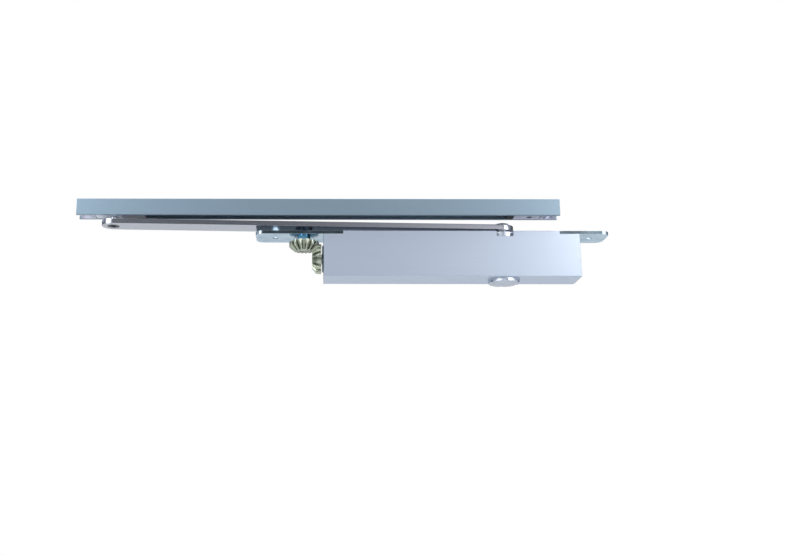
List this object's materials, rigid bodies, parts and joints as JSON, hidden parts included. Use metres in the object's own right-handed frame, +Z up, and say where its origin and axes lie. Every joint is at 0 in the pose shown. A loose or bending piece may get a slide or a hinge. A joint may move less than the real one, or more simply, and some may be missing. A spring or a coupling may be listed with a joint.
{
  "type": "door closer",
  "caption": "Concealed overhead door closer: slim housing with rack and pinion, slide arm, guide rail and a bevel-gear spring adjuster between two fixing plates.",
  "frame": {"origin": "centre of the two door fixing holes, on the seating face of the mounting plates", "axes": "+X along the guide rail towards the hinge side of the door, +Y the way the door opens, +Z up out of the door's top edge"},
  "size_m": [0.487, 0.0445, 0.0731],
  "materials": {
    "anodised_housing": "satin anodised",
    "anodised_rail": "satin anodised",
    "zinc_plate": "bright zinc plated",
    "arm_steel": "brushed nickel-plated steel",
    "gear_steel": "sintered steel",
    "machined_steel": "machined",
    "cap_metal": "satin turned",
    "dark_steel": "oiled",
    "brass": "turned",
    "rubber": "matt",
    "spring_steel": "drawn wire",
    "slider_polymer": "moulded",
    "grey_polymer": "moulded",
    "bracket_zinc": "die cast"
  },
  "bodies": {
    "closer_body": {"housing": "anodised_housing", "left_mounting_plate": "zinc_plate", "right_mounting_plate": "zinc_plate", "plate_screws": "machined_steel", "left_end_plug": "dark_steel", "right_end_plug": "machined_steel", "end_plug_seals": "rubber", "top_bearing_cap": "cap_metal", "bottom_bearing_cap": "cap_metal", "upper_bearing": "machined_steel", "lower_bearing": "machined_steel", "shaft_seal": "rubber", "thrust_washer": "brass", "closer_spring": "spring_steel", "closing_valve_seal": "rubber", "latching_valve_seal": "rubber"},
    "arm": {"pinion_spindle": "machined_steel", "arm": "arm_steel", "arm_screw": "machined_steel", "slider_pin": "machined_steel", "slider_pin_clip": "dark_steel"},
    "slider": {"slider_block": "slider_polymer", "slider_buffer": "grey_polymer"},
    "rail": {"rail": "anodised_rail", "left_rail_bracket": "bracket_zinc", "right_rail_bracket": "bracket_zinc", "opening_stop": "bracket_zinc", "stop_bumper": "rubber", "stop_screw": "dark_steel"},
    "piston": {"piston": "machined_steel", "piston_seal": "rubber", "check_valve_seat": "brass", "check_valve_ball": "machined_steel"},
    "spring_seat": {"spring_seat": "brass"},
    "adjuster": {"adjuster_screw": "machined_steel", "driven_bevel_gear": "gear_steel", "driven_gear_key": "dark_steel"},
    "drive_gear": {"drive_bevel_gear": "gear_steel", "drive_gear_circlip": "dark_steel"},
    "closing_valve": {"closing_valve": "brass"},
    "latching_valve": {"latching_valve": "brass"}
  },
  "joints": [
    {"name": "arm_swing", "type": "hinge", "parent": "closer_body", "child": "arm", "pos_m": [0.065, 0, 0], "axis": [0, 0, 1], "range_deg": [0, 145], "stiffness_Nm_per_rad": 8, "springref_deg": -34.38},
    {"name": "slider_pivot", "type": "hinge", "parent": "arm", "child": "slider", "pos_m": [-0.29305, -0.018, 0.0147], "axis": [0, 0, 1], "range_deg": [-45, 10]},
    {"name": "rail_slide", "type": "slide", "parent": "slider", "child": "rail", "axis": [1, 0, 0], "range_m": [-0.33, 0]},
    {"name": "piston_slide", "type": "slide", "parent": "closer_body", "child": "piston", "axis": [-1, 0, 0], "range_m": [0, 0.0191], "deforming": ["closer_spring"]},
    {"name": "drive_gear_spin", "type": "hinge", "parent": "closer_body", "child": "drive_gear", "pos_m": [-0.119, 0, 0], "axis": [0, 0, 1], "range_deg": [0, 2520]},
    {"name": "adjuster_spin", "type": "hinge", "parent": "closer_body", "child": "adjuster", "pos_m": [-0.119, 0, -0.02], "axis": [1, 0, 0], "range_deg": [-2520, 0]},
    {"name": "spring_seat_slide", "type": "slide", "parent": "closer_body", "child": "spring_seat", "axis": [1, 0, 0], "range_m": [0, 0.0141], "deforming": ["closer_spring"]},
    {"name": "closing_valve_turn", "type": "hinge", "parent": "closer_body", "child": "closing_valve", "pos_m": [0.09375, 0, 0], "axis": [0, 0, 1], "range_deg": [-360, 360]},
    {"name": "latching_valve_turn", "type": "hinge", "parent": "closer_body", "child": "latching_valve", "pos_m": [0.10475, 0, 0], "axis": [0, 0, 1], "range_deg": [-360, 360]}
  ],
  "couplings": [
    {"joint": "piston_slide", "follows": "arm_swing", "m_per_rad": 0.0075},
    {"joint": "adjuster_spin", "follows": "drive_gear_spin", "ratio": -1},
    {"joint": "spring_seat_slide", "follows": "drive_gear_spin", "m_per_rad": 0.00031831}
  ]
}
